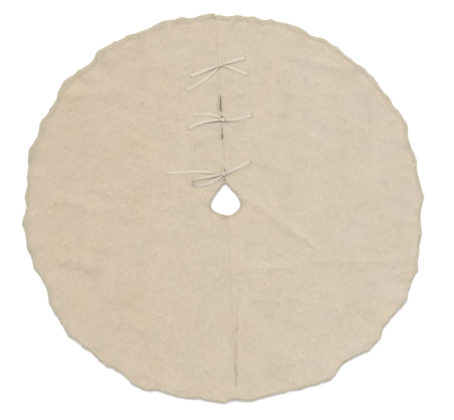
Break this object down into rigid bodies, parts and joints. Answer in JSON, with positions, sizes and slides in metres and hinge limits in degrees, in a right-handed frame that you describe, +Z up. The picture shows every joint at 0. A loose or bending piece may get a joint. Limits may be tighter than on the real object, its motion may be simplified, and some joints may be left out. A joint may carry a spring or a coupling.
{
  "type": "tree skirt",
  "caption": "Round plush tree skirt with a trunk hole, a full-length slit closed by tied ribbon bows, and a lined underside that folds in half.",
  "frame": {"origin": "centre of the trunk hole, on the floor that the skirt lies on", "axes": "+Z up out of the pile, +Y from the trunk hole along the slit to the back, +X to the right half"},
  "size_m": [1.2204, 1.2103, 0.0199],
  "materials": {
    "plush": "matte",
    "lining": "matte",
    "ribbon": "satin",
    "thread": "matte",
    "label": "satin"
  },
  "bodies": {
    "right_half": {"plush_panel_right": "plush", "lining_right": "lining", "edge_thread_right": "thread", "front_seam_thread": "thread", "care_label": "label", "tie_upper_right": "ribbon", "tie_middle_right": "ribbon", "tie_lower_right": "ribbon"},
    "left_half": {"plush_panel_left": "plush", "lining_left": "lining", "edge_thread_left": "thread", "tie_upper_left": "ribbon", "tie_middle_left": "ribbon", "tie_lower_left": "ribbon"}
  },
  "joints": [
    {"name": "fold", "type": "hinge", "parent": "right_half", "child": "left_half", "pos_m": [0, 0, 0.013], "axis": [0, 1, 0], "range_deg": [0, 165], "deforming": ["tie_upper_left", "tie_upper_right", "tie_middle_left", "tie_middle_right", "tie_lower_left", "tie_lower_right"]}
  ]
}
